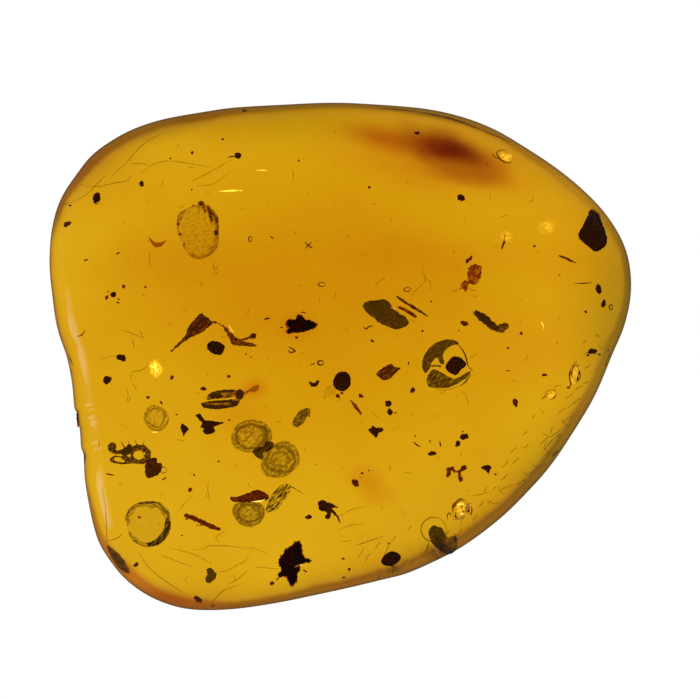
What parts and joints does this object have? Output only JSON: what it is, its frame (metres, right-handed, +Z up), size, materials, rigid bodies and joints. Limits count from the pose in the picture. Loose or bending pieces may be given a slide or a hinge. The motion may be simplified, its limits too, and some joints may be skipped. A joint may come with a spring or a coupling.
{
  "type": "insect in amber",
  "caption": "Polished domed stone of clear golden amber with a flat base, holding sealed insects, seeds and plant crumbs in hollows of their own.",
  "frame": {"origin": "on the plane of the flat polished base, under the middle of the stone's outline", "axes": "+X along the stone's long side, towards its pointed end; +Y towards its straighter long edge; +Z up out of the domed face"},
  "size_m": [0.022, 0.0191, 0.0048],
  "materials": {
    "amber": "polished clear golden resin",
    "black": "matt, charred-looking plant matter",
    "brown": "matt dark brown",
    "red": "red-brown, slightly see-through at thin edges",
    "olive": "dull olive",
    "chitin": "glossy insect shell",
    "clear_shell": "thin, nearly clear shed shell"
  },
  "bodies": {
    "root": {"amber_base": "amber", "amber_top": "amber", "bark_crumb": "black", "bark_flake": "brown", "barrel_pellet": "black", "beetle": "chitin", "bract": "brown", "crescent_crumb": "brown", "double_crumb": "black", "double_grain": "olive", "gnat": "chitin", "grain_01": "brown", "grain_02": "brown", "grain_03": "brown", "grain_04": "brown", "grain_05": "brown", "grain_06": "brown", "grain_07": "brown", "grain_08": "brown", "grain_09": "brown", "grain_10": "brown", "grain_11": "brown", "grain_12": "brown", "grain_13": "brown", "grain_14": "brown", "grain_15": "brown", "grain_16": "brown", "grain_17": "brown", "grain_18": "brown", "grain_19": "brown", "grain_20": "brown", "grain_21": "brown", "green_lump": "olive", "hexagonal_pellet": "black", "lace_cluster": "red", "larva": "chitin", "leaf_scrap": "brown", "long_needle": "brown", "lozenge_flake": "red", "midge": "chitin", "notched_crumb": "brown", "olive_flake": "olive", "oval_pellet": "black", "red_debris": "red", "red_needle": "red", "red_splinter": "red", "root_knot": "black", "scale_insect": "clear_shell", "seed": "black", "short_splinter": "red", "spindle": "brown", "splinter_crumb": "brown", "square_grain": "black", "thin_splinter": "brown", "three_point_crumb": "black", "triangle_crumb": "black", "twig": "red", "wing_shred": "red"}
  },
  "joints": []
}
